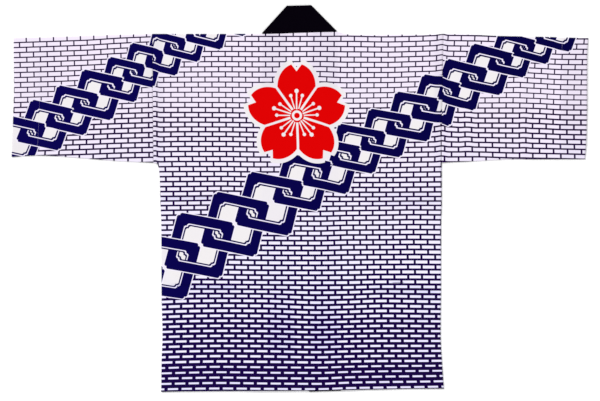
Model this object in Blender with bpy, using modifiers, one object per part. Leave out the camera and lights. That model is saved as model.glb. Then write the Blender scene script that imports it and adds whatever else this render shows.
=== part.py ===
"""A cotton happi coat laid out flat, face down, with its back up and its square sleeves spread.

Metres, +Z up. The coat lies on the plane z = 0, +Y runs from the hem to the collar and +X along the
right-hand sleeve as seen from above. The origin is the middle of its outline, on that plane.

Six pieces, each a wall of cloth: the back, two fronts, two sleeves that are flattened tubes, and the
collar band, one strip that runs up one front, folds over at the neck and runs down the other.
"""

import math
from collections import namedtuple

import bmesh
import bpy
from mathutils import Vector

MM = 0.001

# Cloth. Levels are heights of the middle of the cloth over the ground.
WALL = 1.2 * MM  # printed cotton, with its soft loft
BAND_WALL = 2.4 * MM  # collar strip, folded double
SEAM_GAP = 0.3 * MM  # between pieces that are sewn together or lie on each other
LOWEST = WALL / 2  # a cloth on the ground
PRESSED = LOWEST + WALL + SEAM_GAP  # the upper cloth where a seam presses it down
RESTING = 3.6 * MM  # the upper cloth away from the seams
SEAM_RISE = 34 * MM  # how far from a seam the upper cloth has risen to RESTING
SLEEVE_FOLD_RADIUS = (PRESSED - LOWEST) / 2  # middle of the cloth round a sleeve's fold and seam
BAND_LOW = BAND_WALL / 2
BAND_FOLD_RADIUS = (BAND_WALL + SEAM_GAP) / 2  # middle of the strip where it folds over at the neck
BAND_HIGH = BAND_LOW + 2 * BAND_FOLD_RADIUS

# Outlines, in mm. A side or a cuff runs upwards, a hem, shoulder or sleeve edge from left to right.
Spot = namedtuple("Spot", "x y")
LEFT_SIDE = (
    Spot(-310.0, -431.6),
    Spot(-309.1, -367.0),
    Spot(-307.1, -303.0),
    Spot(-309.1, -218.0),
    Spot(-309.6, -61.0),
    Spot(-311.8, -5.0),
    Spot(-312.9, 40.0),
    Spot(-314.8, 64.0),
    Spot(-319.5, 79.4),
    Spot(-327.2, 80.6),
    Spot(-329.5, 368.0),
)
RIGHT_SIDE = (
    Spot(321.2, -424.3),
    Spot(317.4, -367.0),
    Spot(314.2, -303.0),
    Spot(315.1, -175.0),
    Spot(315.1, -61.0),
    Spot(316.5, -5.0),
    Spot(316.3, 80.6),
    Spot(320.3, 368.0),
)
HEM = (
    Spot(-310.0, -431.6),
    Spot(-250.0, -430.5),
    Spot(0.0, -428.7),
    Spot(171.0, -426.3),
    Spot(257.0, -424.5),
    Spot(321.2, -424.3),
)
NECK_LEFT = Spot(-83.8, 369.5)
NECK_RIGHT = Spot(81.6, 374.2)
NECK_SEAM = 0.5  # the back ends this far below the line of the neck, clear of the strip's thick edge
SHOULDER = (
    Spot(-329.5, 368.0),
    Spot(-201.0, 368.0),
    Spot(NECK_LEFT.x, NECK_LEFT.y - NECK_SEAM),
    Spot(NECK_RIGHT.x, NECK_RIGHT.y - NECK_SEAM),
    Spot(106.4, 366.8),
    Spot(171.0, 365.2),
    Spot(219.0, 366.4),
    Spot(299.5, 366.4),
    Spot(320.3, 368.0),
)
LEFT_CUFF = (
    Spot(-644.2, 93.3),
    Spot(-640.6, 182.5),
    Spot(-638.6, 251.8),
    Spot(-639.7, 358.6),
)
LEFT_SLEEVE_TOP = (
    Spot(-639.7, 358.6),
    Spot(-587.8, 360.0),
    Spot(-499.5, 363.0),
    Spot(-412.0, 366.0),
    Spot(-329.8, 368.0),
)
LEFT_SLEEVE_BOTTOM = (
    Spot(-644.2, 93.3),
    Spot(-585.6, 96.6),
    Spot(-500.6, 91.9),
    Spot(-412.0, 84.6),
    Spot(-327.5, 80.6),
)
RIGHT_CUFF = (
    Spot(637.0, 88.4),
    Spot(640.1, 144.5),
    Spot(641.4, 218.3),
    Spot(641.4, 315.7),
    Spot(644.2, 358.6),
)
RIGHT_SLEEVE_TOP = (
    Spot(320.6, 368.0),
    Spot(386.0, 366.2),
    Spot(440.0, 363.6),
    Spot(525.0, 362.0),
    Spot(644.2, 358.6),
)
RIGHT_SLEEVE_BOTTOM = (
    Spot(316.6, 80.6),
    Spot(384.0, 83.6),
    Spot(469.0, 88.0),
    Spot(534.0, 88.2),
    Spot(637.0, 88.4),
)

# Collar band below the back, in mm: x of its sewn (outer) and free (inner) edges from the hem upwards.
Band = namedtuple("Band", "y left_outer left_inner right_inner right_outer")
BANDS = (
    Band(-435.0, -73.8, -8.9, 20.1, 91.6),
    Band(-290.0, -75.0, -11.5, 22.4, 89.4),
    Band(-195.0, -76.0, -14.4, 25.7, 89.4),
    Band(-100.0, -81.0, -20.8, 25.0, 88.5),
    Band(14.0, -88.4, -28.2, 23.5, 87.2),
    Band(162.0, -86.6, -29.6, 23.5, 85.5),
    Band(310.0, -84.9, -29.1, 24.1, 83.8),
)
BAND_SLANT_FROM = 310.0  # y where the flat run starts to lean over to the slanted fold
BAND_END = Spot(-429.0, -428.6)  # y of the band's end at the hem, left outer corner and inner corner
RIGHT_BAND_END = Spot(-429.0, -431.2)  # the right one shows just below the hem
BAND_TOP_LEFT = Spot(-28.6, 430.75)  # where the free edge folds over, above the neck
BAND_TOP_RIGHT = Spot(25.7, 430.75)
NECK_LIFT = 0.5  # how far the sewn edge draws up where the strip turns over
UP_OVER_BANDS = (-150.0, -92.0, 100.0, 158.0)  # x between which the cloth stays up over the bands

# Largest folds, in mm: soft ridges of the upper cloth. Packing creases across the body, a ruck down its
# lower right, the sewn ridges beside the armholes, and the cuffs' turned-in hems.
Fold = namedtuple("Fold", "x0 y0 x1 y1 height half_width")
FOLDS = (
    Fold(-300, 146, -110, 145, 1.6, 12),
    Fold(-302, -3, -190, -4, 1.5, 12),
    Fold(168, -4, 306, -2, 1.8, 12),
    Fold(-224, -195, -130, -197, 1.2, 14),
    Fold(156, -197, 302, -193, 1.6, 14),
    Fold(108, -115, 108, -385, 2.2, 15),
    Fold(-317, 105, -318, 350, 0.9, 9),
    Fold(306, 105, 309, 350, 0.9, 9),
    Fold(-586, 110, -588, 350, 0.7, 12),
    Fold(582, 110, 586, 350, 0.7, 12),
    Fold(-520, 250, -380, 215, 1.2, 24),
    Fold(380, 250, 520, 215, 1.2, 24),
)

# Meshes, in mm: where the lines between their cells run.
ROW_HEIGHTS = (
    (-405, -368, -330, -290, -250, -213, -195, -177, -140, -100, -61, -21, -5)
    + (14, 40, 64, 80.6, 105, 130, 146, 162, 200, 240, 276, 310, 345)
)
BODY_COLUMNS = (
    (-311, -299, -280, -250, -215, -180, -145, -115, -85, -55, -25, 5, 35, 65)
    + (92, 108, 124, 150, 180, 215, 250, 284, 304, 316)
)
FRONT_COLUMNS = 5
SLEEVE_COLUMNS = (0, 18, 46, 70, 100, 135, 170, 205, 240, 275, 300, 322)  # from the cuff
SLEEVE_ROWS = 9
SLEEVE_BEND_STEPS = 4
BAND_BEND_STEPS = 8
BAND_COLUMNS = 4
NECK_COLUMNS = 6

# Finishes
PRINTED_COTTON = (0.62, 0.60, 0.76, 1.0)
BLACK_COTTON = (0.006, 0.005, 0.010, 1.0)


def smooth_step(value):
    """0 below 0, 1 above 1, and the cubic 3t^2 - 2t^3 between."""
    t = min(max(value, 0.0), 1.0)
    return t * t * (3 - 2 * t)


def read(table, key, at, column):
    """A column of a table, read by straight lines at a value of its key column."""
    for low, high in zip(table, table[1:]):
        share = (at - getattr(low, key)) / (getattr(high, key) - getattr(low, key))
        if share <= 1 or high is table[-1]:
            return getattr(low, column) * (1 - share) + getattr(high, column) * share
    raise ValueError("the table has fewer than two rows")


def upright_edge(x_of, low, high):
    """Points of an edge that runs up the body: one on every row, and its own two ends."""
    heights = [low, *ROW_HEIGHTS, high]
    return [Vector((x_of(y), y)) for y in heights]


def level_edge(table, low, high, columns):
    """Points of a hem, shoulder or sleeve edge at these shares of the way from x low to x high."""
    across = [low + (high - low) * share for share in columns]
    return [Vector((x, read(table, "x", x, "y"))) for x in across]


def patch(left, right, bottom, top):
    """A sheet between four edges, each a list of points: the Coons patch, which is the mean across plus
    the mean upwards, less the sheet between the four corners. Gives {(column, row): point}, in mm."""
    shares_u = [(p.x - bottom[0].x) / (bottom[-1].x - bottom[0].x) for p in bottom]
    shares_v = [(p.y - left[0].y) / (left[-1].y - left[0].y) for p in left]
    points = {}
    for i, u in enumerate(shares_u):
        for j, v in enumerate(shares_v):
            across = left[j] * (1 - u) + right[j] * u
            upwards = bottom[i] * (1 - v) + top[i] * v
            low = bottom[0] * (1 - u) + bottom[-1] * u
            high = top[0] * (1 - u) + top[-1] * u
            points[i, j] = across + upwards - low * (1 - v) - high * v
    return points


def fold_rise(x, y):
    """Height that the folds add at a spot, in metres: a bell across each, which fades out at its ends."""
    rise = 0.0
    for fold in FOLDS:
        start = Vector((fold.x0, fold.y0))
        run = Vector((fold.x1, fold.y1)) - start
        at = (Vector((x, y)) - start).dot(run) / run.length
        off = (Vector((x, y)) - start - run * (at / run.length)).length / fold.half_width
        fade = smooth_step(4 * at / run.length) * smooth_step(4 * (1 - at / run.length))
        rise += fold.height * MM * math.exp(-off * off) * fade
    return rise


def risen(distance):
    """0 at a seam, 1 where the upper cloth has risen clear of it. Distance in mm."""
    return smooth_step(distance * MM / SEAM_RISE)


def cloth_material(name, colour, roughness):
    material = bpy.data.materials.new(name)
    material.use_nodes = True
    shader = material.node_tree.nodes["Principled BSDF"]
    shader.inputs["Base Color"].default_value = colour
    shader.inputs["Roughness"].default_value = roughness
    shader.inputs["Metallic"].default_value = 0.0
    return material


def walled(name, columns, rows, place, wall, material, rolled=False):
    """A grid of cells, each corner put where place(column, row) says, with half a wall of cloth on both
    sides. A rolled grid's last row lies on its first, which makes a tube."""
    cloth = bmesh.new()
    bmesh.ops.create_grid(cloth, x_segments=columns - 1, y_segments=rows - 1, size=0.5)
    for corner in cloth.verts:
        column = round((corner.co.x + 0.5) * (columns - 1))
        row = round((corner.co.y + 0.5) * (rows - 1))
        corner.co = place(column, row)
    if rolled:
        bmesh.ops.remove_doubles(cloth, verts=cloth.verts, dist=0.01 * MM)
    mesh = bpy.data.meshes.new(name)
    cloth.to_mesh(mesh)
    cloth.free()
    mesh.shade_smooth()
    mesh.materials.append(material)
    piece = bpy.data.objects.new(name, mesh)
    coat.objects.link(piece)
    thickness = piece.modifiers.new("cloth wall", "SOLIDIFY")
    thickness.thickness = wall
    thickness.offset = 0.0
    thickness.use_even_offset = True


def side_x(table):
    return lambda y: read(table, "y", y, "x")


def band_x(column):
    return lambda y: read(BANDS, "y", y, column)


def make_back():
    """One cloth from hem to shoulder. It is pressed down at its edges, but not over the bands."""
    left = upright_edge(side_x(LEFT_SIDE), LEFT_SIDE[0].y, LEFT_SIDE[-1].y)
    right = upright_edge(side_x(RIGHT_SIDE), RIGHT_SIDE[0].y, RIGHT_SIDE[-1].y)
    width = BODY_COLUMNS[-1] - BODY_COLUMNS[0]
    shares = [(x - BODY_COLUMNS[0]) / width for x in BODY_COLUMNS]
    bottom = level_edge(HEM, HEM[0].x, HEM[-1].x, shares)
    top = level_edge(SHOULDER, SHOULDER[0].x, SHOULDER[-1].x, shares)
    flat = patch(left, right, bottom, top)
    far_left, near_left, near_right, far_right = UP_OVER_BANDS

    def place(i, j):
        x, y = flat[i, j]
        sides = risen(x - left[j].x) * risen(right[j].x - x)
        ends = risen(y - bottom[i].y) * risen(top[i].y - y)
        over = smooth_step((x - far_left) / (near_left - far_left))
        over *= smooth_step((far_right - x) / (far_right - near_right))
        z = PRESSED + (RESTING - PRESSED) * max(sides * ends, over)
        return x * MM, y * MM, z + fold_rise(x, y) * sides * ends

    walled("back", len(bottom), len(left), place, WALL, printed)


def make_front(name, side, outer_column, outward):
    """A narrow panel on the ground between a side seam and the sewn edge of the band. Outward is the
    way from the band to the side seam, -1 or 1."""
    gap = outward * SEAM_GAP / MM
    sewn_x = band_x(outer_column)
    neck = NECK_RIGHT if outward > 0 else NECK_LEFT
    hem_x = sewn_x(HEM[0].y) + gap
    sewn = upright_edge(
        lambda y: sewn_x(y) + gap,
        read(HEM, "x", hem_x, "y"),
        read(SHOULDER, "x", neck.x, "y"),
    )
    outer = upright_edge(side_x(side), side[0].y, side[-1].y)
    left, right = (sewn, outer) if outward > 0 else (outer, sewn)
    shares = [step / FRONT_COLUMNS for step in range(FRONT_COLUMNS + 1)]
    bottom = level_edge(HEM, left[0].x, right[0].x, shares)
    top = level_edge(SHOULDER, left[-1].x, right[-1].x, shares)
    flat = patch(left, right, bottom, top)

    def place(i, j):
        x, y = flat[i, j]
        return x * MM, y * MM, LOWEST

    walled(name, len(bottom), len(left), place, WALL, printed)


def ring():
    """The way round a flattened tube, as (share from the bottom seam to the top fold, level, bend): up
    the upper cloth at level 1, round the fold, down the lower cloth at level 0, round the seam. Bend is
    how far out round the fold or seam a point lies, from 0 to 1, and -1 to 0 at the seam."""
    steps = range(SLEEVE_ROWS)
    turns = [math.pi * step / SLEEVE_BEND_STEPS for step in range(SLEEVE_BEND_STEPS)]
    upper = [(step / SLEEVE_ROWS, 1.0, 0.0) for step in steps]
    fold = [(1.0, (1 + math.cos(turn)) / 2, math.sin(turn)) for turn in turns]
    lower = [(1 - step / SLEEVE_ROWS, 0.0, 0.0) for step in steps]
    seam = [(0.0, (1 - math.cos(turn)) / 2, -math.sin(turn)) for turn in turns]
    return upper + fold + lower + seam + upper[:1]


def make_sleeve(name, cuff, top_edge, bottom_edge, side, outward):
    """A square tube laid flat, pressed down along its fold, its seam and the armhole. Outward is the way
    from the armhole to the cuff, -1 or 1."""
    reach = SLEEVE_COLUMNS[-1]
    shares = [column / reach for column in SLEEVE_COLUMNS]
    if outward > 0:
        shares = [1 - share for share in reversed(shares)]
    armhole_x = side_x(side)
    around = ring()
    draw_in = (SLEEVE_FOLD_RADIUS + WALL / 2) / MM

    top = level_edge(top_edge, top_edge[0].x, top_edge[-1].x, shares)
    bottom = level_edge(bottom_edge, bottom_edge[0].x, bottom_edge[-1].x, shares)
    lays = [step / SLEEVE_ROWS for step in range(SLEEVE_ROWS + 1)]
    arm = 0 if outward > 0 else -1
    arm_heights = [bottom[arm].y + (top[arm].y - bottom[arm].y) * lay for lay in lays]
    armhole = [Vector((armhole_x(y) + outward * SEAM_GAP / MM, y)) for y in arm_heights]
    cuff_heights = [cuff[0].y + (cuff[-1].y - cuff[0].y) * lay for lay in lays]
    opening = [Vector((read(cuff, "y", y, "x"), y)) for y in cuff_heights]
    left, right = (armhole, opening) if outward > 0 else (opening, armhole)
    flat = patch(left, right, bottom, top)

    def place(i, turn):
        lay, level, bend = around[turn]
        low, high = flat[i, 0], flat[i, SLEEVE_ROWS]
        length = (high - low).length
        spot = flat[i, round(lay * SLEEVE_ROWS)]
        up = (high - low) / length
        shift = draw_in * (1 - 2 * lay) + bend * SLEEVE_FOLD_RADIUS / MM
        x, y = spot + up * shift
        from_arm = abs(x - armhole_x(y))
        lifted = risen(lay * length) * risen((1 - lay) * length) * risen(from_arm)
        z = LOWEST + (PRESSED - LOWEST) * level
        if level == 1.0:
            z += (RESTING - PRESSED) * lifted + fold_rise(x, y) * lifted
        return x * MM, y * MM, z

    walled(name, len(shares), len(around), place, WALL, printed, rolled=True)


def slanted_fold(neck, top):
    """The line that the strip folds over on, drawn in so that the outside of the fold lies on the
    outline: its sewn and its free end, and how far aside the middle of the fold bulges, in mm."""
    lean = Vector((top.x - neck.x, top.y - neck.y)).normalized()
    inwards = -math.copysign(1.0, neck.x)
    draw_in = inwards * (BAND_FOLD_RADIUS + BAND_WALL / 2) / MM / lean.y
    bulge = -inwards * BAND_FOLD_RADIUS / MM / lean.y
    return Vector((neck.x + draw_in, neck.y)), Vector((top.x + draw_in, top.y)), bulge


def band_run(outer_column, inner_column, end, fold_line):
    """Sections of one front's stretch, from the hem up to the slanted fold, as pairs of points."""
    outer_x, inner_x = band_x(outer_column), band_x(inner_column)
    run = [(Vector((outer_x(end.x), end.x)), Vector((inner_x(end.y), end.y)))]
    for y in ROW_HEIGHTS:
        if y <= BAND_SLANT_FROM:
            run.append((Vector((outer_x(y), y)), Vector((inner_x(y), y))))
    sewn, free = run[-1]
    for share in (0.35, 0.7, 1.0):
        run.append((sewn.lerp(fold_line[0], share), free.lerp(fold_line[1], share)))
    return [(outer, inner, BAND_LOW) for outer, inner in run]


def band_bend(fold_line):
    """Sections round the slanted fold, from the lower run to the upper: half a turn."""
    sewn, free, bulge = fold_line
    bend = []
    for step in range(1, BAND_BEND_STEPS):
        turn = math.pi * step / BAND_BEND_STEPS
        aside = Vector((bulge * math.sin(turn), 0))
        lift = Vector((0, NECK_LIFT * math.sin(turn)))
        z = BAND_LOW + BAND_FOLD_RADIUS * (1 - math.cos(turn))
        bend.append((sewn + aside + lift, free + aside, z))
    return bend


def make_collar():
    """One strip, as sections across it: up the left front, over at the neck, along the back of the neck
    on top, over at the other side and down the right front."""
    left = slanted_fold(NECK_LEFT, BAND_TOP_LEFT)
    right = slanted_fold(NECK_RIGHT, BAND_TOP_RIGHT)
    neck = []
    for step in range(NECK_COLUMNS + 1):
        share = step / NECK_COLUMNS
        neck.append((left[0].lerp(right[0], share), left[1].lerp(right[1], share), BAND_HIGH))
    left_run = band_run("left_outer", "left_inner", BAND_END, left)
    right_run = band_run("right_outer", "right_inner", RIGHT_BAND_END, right)
    sections = left_run + band_bend(left) + neck + band_bend(right)[::-1] + right_run[::-1]

    def place(number, step):
        sewn, free, z = sections[number]
        x, y = sewn.lerp(free, step / BAND_COLUMNS)
        return x * MM, y * MM, z

    walled("collar", len(sections), BAND_COLUMNS + 1, place, BAND_WALL, black)


for old in list(bpy.data.objects):
    bpy.data.objects.remove(old)
coat = bpy.data.collections.new("happi_coat")
bpy.context.scene.collection.children.link(coat)
printed = cloth_material("printed cotton", PRINTED_COTTON, 0.85)
black = cloth_material("black cotton", BLACK_COTTON, 0.8)

make_back()
make_front("front_left", LEFT_SIDE, "left_outer", -1)
make_front("front_right", RIGHT_SIDE, "right_outer", 1)
make_sleeve("sleeve_left", LEFT_CUFF, LEFT_SLEEVE_TOP, LEFT_SLEEVE_BOTTOM, LEFT_SIDE, -1)
make_sleeve("sleeve_right", RIGHT_CUFF, RIGHT_SLEEVE_TOP, RIGHT_SLEEVE_BOTTOM, RIGHT_SIDE, 1)
make_collar()
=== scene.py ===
"""The looks of a cotton happi coat that lies flat with its back up and its square sleeves spread.

+Z is up, and the coat lies on the plane z = 0 with its collar towards +Y. Sizes and places are in
millimetres, apart from those of the view, which are in metres.
"""

import math

import bpy
import numpy as np
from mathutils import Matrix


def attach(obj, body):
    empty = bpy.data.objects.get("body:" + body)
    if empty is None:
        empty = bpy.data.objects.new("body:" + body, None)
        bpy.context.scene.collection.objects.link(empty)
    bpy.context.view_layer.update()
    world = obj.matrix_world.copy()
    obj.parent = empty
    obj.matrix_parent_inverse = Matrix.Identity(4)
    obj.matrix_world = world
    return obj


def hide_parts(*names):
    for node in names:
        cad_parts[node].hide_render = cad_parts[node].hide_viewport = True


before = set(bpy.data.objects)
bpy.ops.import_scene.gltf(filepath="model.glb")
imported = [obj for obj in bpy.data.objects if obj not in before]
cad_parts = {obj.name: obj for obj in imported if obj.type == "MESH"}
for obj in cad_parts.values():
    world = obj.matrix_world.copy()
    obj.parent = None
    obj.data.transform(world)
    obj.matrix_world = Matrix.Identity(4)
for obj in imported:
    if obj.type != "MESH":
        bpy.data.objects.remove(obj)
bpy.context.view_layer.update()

MM = 0.001

# View. Straight above the coat, from far enough up that nothing leans.
VIEW_WIDTH = 1.341
VIEW_MIDDLE = (0.0, -0.0041)
VIEW_HEIGHT = 6.0


def in_scene(name, data):
    """Puts a camera, a lamp or a mesh into the scene."""
    thing = bpy.data.objects.new(name, data)
    bpy.context.scene.collection.objects.link(thing)
    return thing


eye = bpy.data.cameras.new("view from above")
eye.lens = eye.sensor_width * VIEW_HEIGHT / VIEW_WIDTH
viewer = in_scene("view from above", eye)
viewer.location = (*VIEW_MIDDLE, VIEW_HEIGHT)
bpy.context.scene.camera = viewer
bpy.context.scene.view_settings.view_transform = "Standard"

# Floor and light. A white studio table under an even tent of light, and one broad lamp from the upper
# left that gives the folds a soft side of shade.
FLOOR_WHITE = (0.985, 0.985, 0.985, 1.0)
FLOOR_REACH = 4000.0  # mm each way
FLOOR_DROP = 0.4  # mm, just clear of the stitches on the coat's underside
TENT_WHITE = (1.0, 1.0, 1.0, 1.0)
BRIGHTNESS = 1.1  # of both lights, so that the table stays white; the coat's colours allow for it
TENT_STRENGTH = 0.76 * BRIGHTNESS
LAMP_STRENGTH = 1.53 * BRIGHTNESS
LAMP_TILT = math.radians(52)
LAMP_TURN = math.radians(218)
LAMP_SOFTNESS = math.radians(16)


def new_finish(name, **constants):
    """A material, and what is the same all over it set on its shader. Gives its nodes and shader as well."""
    finish = bpy.data.materials.new(name)
    finish.use_nodes = True
    shader = finish.node_tree.nodes["Principled BSDF"]
    for label, value in constants.items():
        shader.inputs[label.replace("_", " ")].default_value = value
    return finish, finish.node_tree, shader


def new_mesh(name, points, faces, finishes):
    """A smooth mesh in the scene, from an array of points (..., 3) in mm and one of faces."""
    mesh = bpy.data.meshes.new(name)
    mesh.from_pydata((np.reshape(points, (-1, 3)) * MM).tolist(), [], np.asarray(faces).tolist())
    mesh.shade_smooth()
    for finish in finishes:
        mesh.materials.append(finish)
    return in_scene(name, mesh)


table_finish, _, _ = new_finish("white table", Base_Color=FLOOR_WHITE, Roughness=0.9, Specular_IOR_Level=0.1)
floor_corners = np.array([(-1, -1, 0), (1, -1, 0), (1, 1, 0), (-1, 1, 0)]) * FLOOR_REACH - (0, 0, FLOOR_DROP)
floor = new_mesh("floor", floor_corners, [(0, 1, 2, 3)], [table_finish])

tent = bpy.data.worlds.new("tent of light")
tent.use_nodes = True
tent_light = tent.node_tree.nodes["Background"]
tent_light.inputs["Color"].default_value = TENT_WHITE
tent_light.inputs["Strength"].default_value = TENT_STRENGTH
bpy.context.scene.world = tent
lamp = bpy.data.lights.new("broad lamp", "SUN")
lamp.energy = LAMP_STRENGTH
lamp.angle = LAMP_SOFTNESS
in_scene("broad lamp", lamp).rotation_euler = (LAMP_TILT, 0.0, LAMP_TURN)


# The back. One printed cotton cloth from the hem to the shoulder, sewn to the sleeves, fronts and collar
# along its edges, where the seams press it down. It rests on the fronts and on the collar's two bands, and
# keeps the creases that it was folded on.
CLOTH = 0.8  # thickness of the cotton with its loft
LOWEST = 0.6  # height of the middle of a sleeve's lower cloth
PRESSED = 2.1  # of the middle of the upper cloth at a seam
RESTING = 3.6  # and away from the seams
LOWEST_ON_FRONT = 1.45  # and in a trough of the back, over a front
LOWEST_ON_BAND = 2.98  # and over one of the collar's bands
SUPPORT_ROUNDING = 0.12  # rounds off the cloth's height where it leaves what it rests on
SEAM_RISE = 34.0  # how far from a seam it takes to rise
BENT_HEIGHT = 0.16  # of the waves that stay in smoothed cloth
BENT_WAVES = ((31, 1.3, 63, 0.4), (43, 0.9, 71, 0.0))  # (length, bend, the bend's length, its start)
SLANTED_HEIGHT = 0.14
SLANTED_WAVES = ((1.0, 0.6, 58, 2.0), (0.8, -1.0, 77, 0.5))  # (share across, share up, length, start)
LEFT_SIDE = (  # (y, x) of the left side seam and armhole, upwards
    (-431.6, -310.0),
    (-367.0, -309.1),
    (-303.0, -307.1),
    (-218.0, -309.1),
    (-61.0, -309.6),
    (-5.0, -311.8),
    (40.0, -312.9),
    (64.0, -314.8),
    (79.4, -319.5),
    (80.6, -327.2),
    (368.0, -329.5),
)
RIGHT_SIDE = (
    (-424.3, 321.2),
    (-367.0, 317.4),
    (-303.0, 314.2),
    (-175.0, 315.1),
    (-61.0, 315.1),
    (-5.0, 316.5),
    (80.6, 316.3),
    (368.0, 320.3),
)
HEM = (  # (x, y) from left to right
    (-310.0, -431.6),
    (-250.0, -430.5),
    (0.0, -428.7),
    (171.0, -426.3),
    (257.0, -424.5),
    (321.2, -424.3),
)
SHOULDER = (
    (-329.5, 368.0),
    (-201.0, 368.0),
    (-83.8, 368.0),
    (81.6, 372.4),
    (106.4, 366.8),
    (171.0, 365.2),
    (219.0, 366.4),
    (299.5, 366.4),
    (320.3, 368.0),
)
OVER_BANDS = (-150.0, -92.0, 100.0, 158.0)  # x between which the cloth stays up over the collar's bands
FOLD_FADE = 1 / 4  # share of its length over which a fold fades in, and out again
CREASE_FADE = 1 / 7
HEIGHT, SHADE = 4, 6  # the columns that hold them in the next two tables; the shade is painted
FOLDS = (  # (x0, y0, x1, y1, height, half width) of soft ridges, and of troughs where the height is below 0
    (-300, 146, -110, 145, 1.6, 12),
    (-302, -3, -190, -4, 1.5, 12),
    (168, -4, 306, -2, 1.8, 12),
    (-224, -195, -130, -197, 1.2, 14),
    (156, -197, 302, -193, 1.6, 14),
    (108, -115, 108, -385, 2.2, 15),
    (-317, 105, -318, 350, 0.9, 9),
    (306, 105, 309, 350, 0.9, 9),
    (-586, 110, -588, 350, 0.7, 12),
    (582, 110, 586, 350, 0.7, 12),
    (-520, 250, -380, 215, 1.2, 24),
    (380, 250, 520, 215, 1.2, 24),
    (32, -120, 36, -380, -0.6, 26),
    (-235, -210, -140, -330, 0.5, 30),
    (150, -215, 215, -330, 0.5, 30),
    (-60, 300, -20, 120, 0.3, 30),
    (150, 330, 230, 210, 0.4, 34),
    (-312, -375, 318, -372, -0.5, 3),
    (-560, 120, -562, 350, -0.5, 5),
    (561, 120, 560, 350, -0.5, 5),
)
CREASES = (  # (x0, y0, x1, y1, depth, half width, painted shade) of sharper troughs, on the lines of its packing; the painted shade darkens the cloth along each, also where its depth is 0
    (-306, 144, -112, 146, 1.1, 4.5, 0.5),
    (-322, 1, -150, 2, 2.3, 4.0, 1.8),
    (-322, 2, -140, 2, 0.0, 12.0, 0.4),
    (30, 14, 325, 8, 1.1, 4.5, 0.9),
    (140, -10, 325, -8, 1.7, 4.5, 0.9),
    (120, 1, 325, 0, 0.0, 14.0, 0.5),
    (-300, -195, -135, -197, 1.8, 4.0, 1.5),
    (-310, -205, -130, -206, 0.0, 19.0, 0.7),
    (160, -199, 232, -186, 0.7, 4.5, 0.7),
    (215, -186, 318, -216, 1.3, 4.5, 0.8),
    (150, -212, 318, -206, 1.3, 5.0, 0.6),
    (140, -204, 320, -204, 0.0, 18.0, 0.4),
    (190, -280, 303, -270, 1.2, 4.5, 1.0),
)


def through(at, places, values):
    """Reads a smooth line through spots, at many places at once. In each span it is the cubic that takes,
    at a spot, the harmonic mean of the two spans' slopes, and is level at a peak. A second axis of the
    values gives every place a line of its own."""
    at, places, values = np.asarray(at, float), np.asarray(places, float), np.asarray(values, float)
    flat = at.ravel()
    values = np.broadcast_to(values.reshape(len(places), -1), (len(places), flat.size))
    span = np.diff(places)
    steep = np.diff(values, axis=0) / span[:, None]
    before, after = steep[:-1], steep[1:]
    same_way = before * after > 0
    mean = 2 * before * after / np.where(same_way, before + after, 1.0)
    slope = np.vstack([steep[:1], np.where(same_way, mean, 0.0), steep[-1:]])
    low = np.clip(np.searchsorted(places, flat, side="right") - 1, 0, len(span) - 1)
    t = np.clip((flat - places[low]) / span[low], 0.0, 1.0)
    spot = np.arange(flat.size)
    rise = values[low + 1, spot] - values[low, spot]
    start, end = slope[low, spot] * span[low], slope[low + 1, spot] * span[low]
    curve = t * start + t**2 * (3 * rise - 2 * start - end) + t**3 * (start + end - 2 * rise)
    return (values[low, spot] + curve).reshape(at.shape)


def along(table):
    """A line that is read by its first column."""
    places, values = np.array(table).T
    return lambda at: through(at, places, values)


def soft_step(value):
    """0 below 0, 1 above 1, and the cubic 3t^2 - 2t^3 between."""
    t = np.clip(value, 0.0, 1.0)
    return t * t * (3 - 2 * t)


def risen(distance):
    """0 at a seam, and 1 where the cloth has risen clear of it."""
    return soft_step(distance / SEAM_RISE)


def bells(x, y, lines, weight, fade):
    """The sum, over a table's lines, of a bell across the line that fades out towards both its ends, times
    the line's number in the weight's column."""
    columns = [np.array(column).reshape(-1, *[1] * np.ndim(x)) for column in zip(*lines)]
    x0, y0, x1, y1, _, half_width = columns[:6]
    run_x, run_y = x1 - x0, y1 - y0
    length = np.hypot(run_x, run_y)
    share = ((x - x0) * run_x + (y - y0) * run_y) / length**2
    off = ((x - x0) * run_y - (y - y0) * run_x) / length / half_width
    ends = soft_step(share / fade) * soft_step((1 - share) / fade)
    return np.sum(columns[weight] * np.exp(-(off**2)) * ends, axis=0)


def fold_rise(x, y):
    """Height of all folds, less the depth of all creases."""
    return bells(x, y, FOLDS, HEIGHT, FOLD_FADE) - bells(x, y, CREASES, HEIGHT, CREASE_FADE)


def painted_crease_shade(x, y):
    """How much painted shade darkens the cloth along the creases."""
    return bells(x, y, CREASES, SHADE, CREASE_FADE)


def settled(x, y):
    """The slight unevenness of cloth that was smoothed by hand: the product of a wave across and a wave
    upwards, each bent by one along the other axis, and the sum of two slanted waves."""
    across, upwards = (
        np.sin(at / length + bend * np.sin(beside / bend_length + start))
        for (at, beside), (length, bend, bend_length, start) in zip(((x, y), (y, x)), BENT_WAVES)
    )
    slanted = sum(np.sin((x * run + y * rise) / length + start) for run, rise, length, start in SLANTED_WAVES)
    return BENT_HEIGHT * (across * upwards) + SLANTED_HEIGHT * slanted


def uneven(x, y):
    """Height of the folds, the creases and the slight unevenness together."""
    return fold_rise(x, y) + settled(x, y)


def coons(left, right, bottom, top, u, v):
    """A sheet between four edges: the mean across plus the mean upwards, less the sheet between the four
    corners. Edges are arrays of (x, y); u and v are shares along the bottom and the left."""
    u, v = u[None, :, None], v[:, None, None]
    across = left[:, None] * (1 - u) + right[:, None] * u
    upwards = bottom[None] * (1 - v) + top[None] * v
    low = bottom[0] * (1 - u) + bottom[-1] * u
    high = top[0] * (1 - u) + top[-1] * u
    return across + upwards - low * (1 - v) - high * v


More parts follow.
